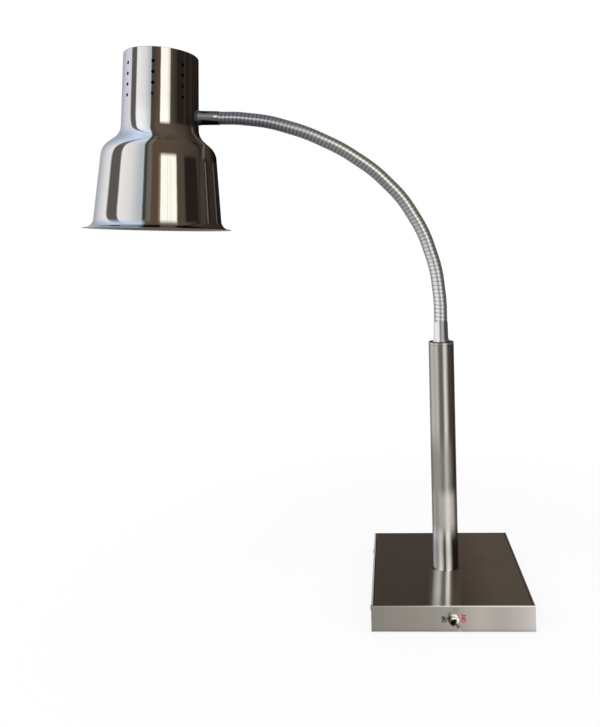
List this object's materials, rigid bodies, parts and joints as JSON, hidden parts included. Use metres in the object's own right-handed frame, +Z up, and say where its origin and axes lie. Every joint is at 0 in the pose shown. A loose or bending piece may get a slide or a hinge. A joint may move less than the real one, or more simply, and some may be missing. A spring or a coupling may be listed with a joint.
{
  "type": "food warming lamp",
  "caption": "Table-top food warming lamp: a flared, polished heat-bulb shade on a ribbed gooseneck that rises from an upright tube on a weighted box base with a toggle switch.",
  "frame": {"origin": "on the table under the upright's axis, at the underside of the base's rubber pad", "axes": "+Z up along the upright, -X towards the shade at rest, -Y towards the front with the switch"},
  "size_m": [0.6509, 0.2672, 0.8221],
  "materials": {
    "cover_steel": "brushed front to back, satin",
    "tray_steel": "brushed",
    "pad_rubber": "matt",
    "post_steel": "polished",
    "ferrule_chrome": "polished",
    "hose_chrome": "polished, ribbed",
    "shade_aluminium": "spun and mirror polished",
    "fixings": "zinc plated",
    "ballast_steel": "mill finish",
    "switch_chrome": "polished",
    "brass": "turned",
    "holder_ceramic": "glazed, off-white",
    "bulb_glass": "clear face, silvered back",
    "black_plastic": "moulded",
    "pale_plastic": "moulded",
    "gland_rubber": "matt",
    "lead_rubber": "matt sheath"
  },
  "bodies": {
    "base": {"base_cover": "cover_steel", "base_tray": "tray_steel", "base_pad": "pad_rubber", "side_screws": "fixings", "ballast_plates": "ballast_steel", "ballast_screws": "fixings", "post_tube": "post_steel", "post_cap": "post_steel", "post_plug": "fixings", "post_stud": "fixings", "post_backing_plate": "fixings", "post_nut": "fixings", "switch_bushing": "switch_chrome", "switch_nuts": "switch_chrome", "switch_housing": "black_plastic", "switch_terminals": "brass", "gland_body": "black_plastic", "gland_locknut": "black_plastic", "gland_dome": "black_plastic", "gland_seal": "gland_rubber", "terminal_block": "pale_plastic", "terminal_inserts": "brass", "earth_stud": "brass", "post_lead": "lead_rubber", "switch_wires": "lead_rubber"},
    "neck_root": {"lower_ferrule": "ferrule_chrome", "lower_locknut": "fixings", "hose_0": "hose_chrome", "lead_0": "lead_rubber"},
    "link_1": {"hose_1": "hose_chrome", "lead_1": "lead_rubber"},
    "link_2": {"hose_2": "hose_chrome", "lead_2": "lead_rubber"},
    "link_3": {"hose_3": "hose_chrome", "lead_3": "lead_rubber"},
    "link_4": {"hose_4": "hose_chrome", "lead_4": "lead_rubber"},
    "link_5": {"hose_5": "hose_chrome", "lead_5": "lead_rubber"},
    "link_6": {"hose_6": "hose_chrome", "lead_6": "lead_rubber"},
    "link_7": {"hose_7": "hose_chrome", "lead_7": "lead_rubber"},
    "head": {"hose_8": "hose_chrome", "lead_8": "lead_rubber", "upper_ferrule": "ferrule_chrome", "shade_body": "shade_aluminium", "shade_neck": "shade_aluminium", "shade_saddle": "ferrule_chrome", "holder_bracket": "fixings", "head_nut": "fixings", "lampholder": "holder_ceramic", "holder_shell": "brass", "centre_contact": "brass", "holder_nipple": "fixings", "head_conductors": "lead_rubber", "bulb_glass": "bulb_glass", "bulb_cap": "brass"},
    "lever": {"switch_lever": "switch_chrome"},
    "rocker": {"switch_rocker": "brass"}
  },
  "joints": [
    {"name": "neck_swivel", "type": "hinge", "parent": "base", "child": "neck_root", "pos_m": [0, 0, 0.375], "axis": [0, 0, 1], "range_deg": [-90, 90]},
    {"name": "neck_bend_1", "type": "hinge", "parent": "neck_root", "child": "link_1", "pos_m": [-0.00182, 0, 0.45293], "axis": [0, -1, 0], "range_deg": [-11.75, 7]},
    {"name": "neck_bend_2", "type": "hinge", "parent": "link_1", "child": "link_2", "pos_m": [-0.0136, 0, 0.51158], "axis": [0, -1, 0], "range_deg": [-12.45, 7]},
    {"name": "neck_bend_3", "type": "hinge", "parent": "link_2", "child": "link_3", "pos_m": [-0.03769, 0, 0.56629], "axis": [0, -1, 0], "range_deg": [-13.25, 7]},
    {"name": "neck_bend_4", "type": "hinge", "parent": "link_3", "child": "link_4", "pos_m": [-0.07366, 0, 0.61403], "axis": [0, -1, 0], "range_deg": [-12.3, 7]},
    {"name": "neck_bend_5", "type": "hinge", "parent": "link_4", "child": "link_5", "pos_m": [-0.11908, 0, 0.65299], "axis": [0, -1, 0], "range_deg": [-9.9, 7]},
    {"name": "neck_bend_6", "type": "hinge", "parent": "link_5", "child": "link_6", "pos_m": [-0.17063, 0, 0.68352], "axis": [0, -1, 0], "range_deg": [-8.5, 7]},
    {"name": "neck_bend_7", "type": "hinge", "parent": "link_6", "child": "link_7", "pos_m": [-0.22613, 0, 0.70609], "axis": [0, -1, 0], "range_deg": [-9.3, 7]},
    {"name": "neck_bend_8", "type": "hinge", "parent": "link_7", "child": "head", "pos_m": [-0.28448, 0, 0.71945], "axis": [0, -1, 0], "range_deg": [-10.65, 7]},
    {"name": "switch_throw", "type": "hinge", "parent": "base", "child": "lever", "pos_m": [0, -0.11, 0.0195], "axis": [0, 0, 1], "range_deg": [-30, 0]},
    {"name": "rocker_tilt", "type": "hinge", "parent": "base", "child": "rocker", "pos_m": [0, -0.09, 0.0195], "axis": [0, 0, 1], "range_deg": [0, 24]}
  ],
  "couplings": [
    {"joint": "rocker_tilt", "follows": "switch_throw", "ratio": -0.8}
  ]
}
